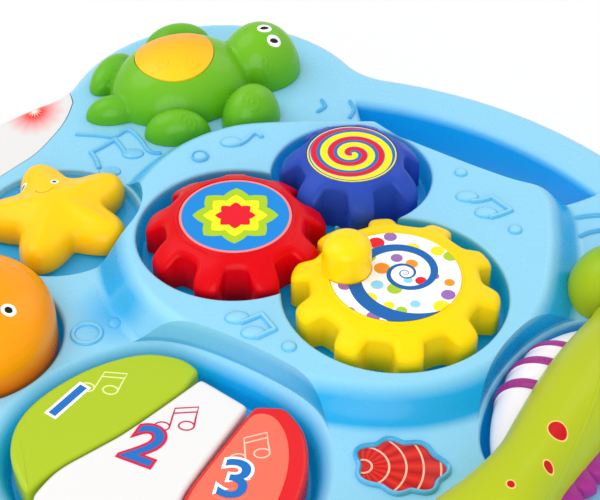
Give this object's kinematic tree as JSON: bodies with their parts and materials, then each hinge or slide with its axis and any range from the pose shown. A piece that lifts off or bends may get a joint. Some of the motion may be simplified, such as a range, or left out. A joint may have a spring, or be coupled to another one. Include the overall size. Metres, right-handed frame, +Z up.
{
  "type": "baby activity table",
  "caption": "Low four-legged activity table for a baby, with toothed discs turned by a crank knob, music keys, spinners, press buttons, a belly roller and a carry handle.",
  "frame": {"origin": "on the floor, below the centre of the table", "axes": "+Z up; -Y towards the music keys, at the front; +Y towards the carry handle; +X to the right, where the seahorse is"},
  "size_m": [0.416, 0.392, 0.2943],
  "materials": {
    "shell_blue": "smooth moulded, glossy",
    "cover_blue": "fine moulded texture",
    "cell": "printed sleeve, plain",
    "royal_blue": "satin",
    "board": "solder mask",
    "black_plastic": "satin",
    "gear_yellow": "smooth moulded, glossy",
    "gear_red": "smooth moulded, glossy",
    "gear_blue": "smooth moulded, glossy",
    "dot_print": "printed sticker, spiral and dots",
    "star_print": "printed sticker, nested star",
    "spiral_print": "printed sticker, spiral",
    "shell_print": "printed sticker, shell",
    "steel": "plain zinc-plated",
    "key_green": "smooth moulded, glossy",
    "key_white": "smooth moulded, glossy",
    "key_red": "smooth moulded, glossy",
    "dome_rubber": "soft silicone",
    "starfish_yellow": "smooth moulded, glossy",
    "fish_orange": "smooth moulded, glossy",
    "turtle_green": "smooth moulded, satin",
    "turtle_shell_yellow": "smooth moulded, satin",
    "seahorse_lime": "smooth moulded, satin",
    "fin_magenta": "smooth moulded, satin",
    "roller_white": "smooth moulded, glossy",
    "lamp_white": "translucent white",
    "led_red": "tinted clear epoxy",
    "led_clear": "clear epoxy",
    "leg_yellow": "smooth moulded, satin",
    "foot_rubber": "soft matt"
  },
  "bodies": {
    "housing": {"top_shell": "shell_blue", "bottom_cover": "cover_blue", "battery_door": "cover_blue", "battery_1": "cell", "battery_2": "cell", "battery_3": "cell", "circuit_board": "board", "speaker": "black_plastic", "green_key_dome": "dome_rubber", "white_key_dome": "dome_rubber", "red_key_dome": "dome_rubber", "fish_spring": "steel", "turtle": "turtle_green", "turtle_button_spring": "steel", "seahorse": "seahorse_lime", "seahorse_fin": "fin_magenta", "belly_roller_axle": "steel", "shell_sticker": "shell_print", "lamp_cover": "lamp_white", "back_lamp_led": "led_red", "front_lamp_led": "led_clear", "back_right_leg": "leg_yellow", "back_left_leg": "leg_yellow", "front_left_leg": "leg_yellow", "front_right_leg": "leg_yellow", "back_right_foot": "foot_rubber", "back_left_foot": "foot_rubber", "front_left_foot": "foot_rubber", "front_right_foot": "foot_rubber", "housing_screw_1": "steel", "housing_screw_2": "steel", "housing_screw_3": "steel", "housing_screw_4": "steel", "housing_screw_5": "steel", "housing_screw_6": "steel", "housing_screw_7": "steel", "housing_screw_8": "steel"},
    "yellow_disc": {"yellow_gear": "gear_yellow", "yellow_gear_sticker": "dot_print", "yellow_gear_screw": "steel", "crank_knob_pin": "steel"},
    "knob": {"crank_knob": "gear_yellow"},
    "red_disc": {"red_gear": "gear_red", "red_gear_sticker": "star_print", "red_gear_screw": "steel"},
    "blue_disc": {"blue_gear": "gear_blue", "blue_gear_sticker": "spiral_print", "blue_gear_screw": "steel"},
    "green_music_key": {"green_key": "key_green"},
    "white_music_key": {"white_key": "key_white"},
    "red_music_key": {"red_key": "key_red"},
    "star": {"starfish": "starfish_yellow", "starfish_screw": "steel"},
    "fish": {"fish_button": "fish_orange"},
    "shell_button": {"turtle_shell_button": "turtle_shell_yellow"},
    "roller": {"belly_roller": "roller_white"},
    "switch": {"power_switch": "royal_blue"}
  },
  "joints": [
    {"name": "yellow_gear_spin", "type": "hinge", "parent": "housing", "child": "yellow_disc", "pos_m": [0.0271, 0.0383, 0.26], "axis": [0, 0, 1], "continuous": true},
    {"name": "red_gear_spin", "type": "hinge", "parent": "housing", "child": "red_disc", "pos_m": [-0.04873, 0.03326, 0.26], "axis": [0, 0, 1], "continuous": true},
    {"name": "blue_gear_spin", "type": "hinge", "parent": "housing", "child": "blue_disc", "pos_m": [-0.02811, 0.09385, 0.26], "axis": [0, 0, 1], "continuous": true},
    {"name": "crank_knob_spin", "type": "hinge", "parent": "yellow_disc", "child": "knob", "pos_m": [0.00772, 0.03163, 0.28], "axis": [0, 0, 1], "continuous": true},
    {"name": "green_key_press", "type": "hinge", "parent": "housing", "child": "green_music_key", "pos_m": [-0.0281, -0.049, 0.2468], "axis": [1, 0, 0], "range_deg": [0, 2.3], "stiffness_Nm_per_rad": 1, "springref_deg": -2.86, "deforming": ["green_key_dome"]},
    {"name": "white_key_press", "type": "hinge", "parent": "housing", "child": "white_music_key", "pos_m": [-0.0045, -0.049, 0.2468], "axis": [1, 0, 0], "range_deg": [0, 2.3], "stiffness_Nm_per_rad": 1, "springref_deg": -2.86, "deforming": ["white_key_dome"]},
    {"name": "red_key_press", "type": "hinge", "parent": "housing", "child": "red_music_key", "pos_m": [0.02146, -0.049, 0.2468], "axis": [1, 0, 0], "range_deg": [0, 2.3], "stiffness_Nm_per_rad": 1, "springref_deg": -2.86, "deforming": ["red_key_dome"]},
    {"name": "starfish_spin", "type": "hinge", "parent": "housing", "child": "star", "pos_m": [-0.1275, 0.009, 0.26], "axis": [0, 0, 1], "continuous": true},
    {"name": "fish_press", "type": "slide", "parent": "housing", "child": "fish", "axis": [0, 0, -1], "range_m": [0, 0.004], "stiffness_N_per_m": 400, "springref_m": -0.004, "deforming": ["fish_spring"]},
    {"name": "shell_button_press", "type": "slide", "parent": "housing", "child": "shell_button", "axis": [0, 0, -1], "range_m": [0, 0.002], "stiffness_N_per_m": 500, "springref_m": -0.003, "deforming": ["turtle_button_spring"]},
    {"name": "belly_roller_spin", "type": "hinge", "parent": "housing", "child": "roller", "pos_m": [0.104, 0.032, 0.2535], "axis": [0, 1, 0], "continuous": true},
    {"name": "power_switch_slide", "type": "slide", "parent": "housing", "child": "switch", "axis": [1, 0, 0], "range_m": [0, 0.006]}
  ],
  "couplings": [
    {"joint": "red_gear_spin", "follows": "yellow_gear_spin", "ratio": -1.1111},
    {"joint": "blue_gear_spin", "follows": "yellow_gear_spin", "ratio": 1.4286}
  ]
}
